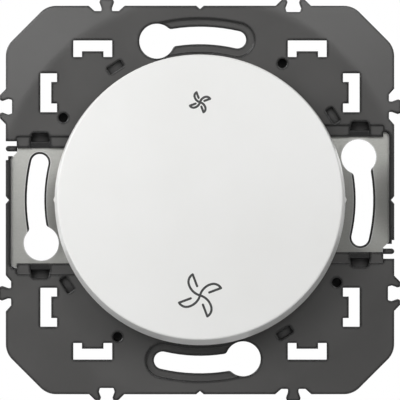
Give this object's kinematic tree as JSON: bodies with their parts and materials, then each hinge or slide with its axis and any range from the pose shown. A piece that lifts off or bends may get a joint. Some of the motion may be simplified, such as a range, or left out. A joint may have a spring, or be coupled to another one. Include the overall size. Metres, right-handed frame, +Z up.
{
  "type": "fan switch",
  "caption": "Flush wall switch for fan speeds: dark square frame with keyhole slots and steel fixing plates, round white rocker in front, mechanism box with wire entries behind.",
  "frame": {"origin": "centre of the support frame, on the wall plane at its rear face", "axes": "+X right and +Z up as seen from the room, -Y out of the wall, +Y into the wall box"},
  "size_m": [0.0732, 0.0404, 0.0732],
  "materials": {
    "frame_plastic": "fine moulded grain, dark warm grey",
    "fixing_steel": "brushed lengthwise to the horizontal",
    "cover_plastic": "moulded, dark grey",
    "housing_plastic": "moulded, anthracite",
    "rocker_plastic": "satin white",
    "mark_ink": "grey, flush with the face",
    "cradle_plastic": "moulded, white",
    "plunger_plastic": "moulded, natural",
    "spring_steel": "drawn",
    "contact_metal": "stamped",
    "tip_silver": "pressed, satin",
    "lever_plastic": "moulded, orange"
  },
  "bodies": {
    "base": {"support_frame": "frame_plastic", "fixing_plate_left": "fixing_steel", "fixing_plate_right": "fixing_steel", "mechanism_cover": "cover_plastic", "mechanism_housing": "housing_plastic", "low_speed_contact_tip": "tip_silver", "high_speed_contact_tip": "tip_silver", "common_terminal": "contact_metal", "low_speed_terminal": "contact_metal", "high_speed_terminal": "contact_metal", "common_clamp_springs": "spring_steel", "low_speed_clamp_springs": "spring_steel", "high_speed_clamp_springs": "spring_steel"},
    "rocker": {"rocker_cap": "rocker_plastic", "low_speed_mark": "mark_ink", "high_speed_mark": "mark_ink", "rocker_cradle": "cradle_plastic", "plunger_spring": "spring_steel"},
    "plunger": {"plunger": "plunger_plastic"},
    "contact": {"moving_contact": "contact_metal", "moving_contact_tips": "tip_silver"},
    "common_lever": {"common_release_lever": "lever_plastic"},
    "low_speed_lever": {"low_speed_release_lever": "lever_plastic"},
    "high_speed_lever": {"high_speed_release_lever": "lever_plastic"}
  },
  "joints": [
    {"name": "rocker_hinge", "type": "hinge", "parent": "base", "child": "rocker", "pos_m": [0, -0.0062, 0], "axis": [1, 0, 0], "range_deg": [0, 9]},
    {"name": "contact_hinge", "type": "hinge", "parent": "base", "child": "contact", "pos_m": [0, 0.005, 0], "axis": [1, 0, 0], "range_deg": [-18, 0]},
    {"name": "plunger_slide", "type": "slide", "parent": "rocker", "child": "plunger", "axis": [0, -0.9969, 0.0785], "range_m": [0, 0.0008], "stiffness_N_per_m": 400, "springref_m": -0.001, "deforming": ["plunger_spring"]},
    {"name": "common_lever_slide", "type": "slide", "parent": "base", "child": "common_lever", "axis": [0, -1, 0], "range_m": [0, 0.0012], "stiffness_N_per_m": 1500, "springref_m": -0.0002, "deforming": ["common_clamp_springs"]},
    {"name": "low_speed_lever_slide", "type": "slide", "parent": "base", "child": "low_speed_lever", "axis": [0, -1, 0], "range_m": [0, 0.0012], "stiffness_N_per_m": 1500, "springref_m": -0.0002, "deforming": ["low_speed_clamp_springs"]},
    {"name": "high_speed_lever_slide", "type": "slide", "parent": "base", "child": "high_speed_lever", "axis": [0, -1, 0], "range_m": [0, 0.0012], "stiffness_N_per_m": 1500, "springref_m": -0.0002, "deforming": ["high_speed_clamp_springs"]}
  ],
  "couplings": [
    {"joint": "contact_hinge", "follows": "rocker_hinge", "ratio": -2}
  ]
}
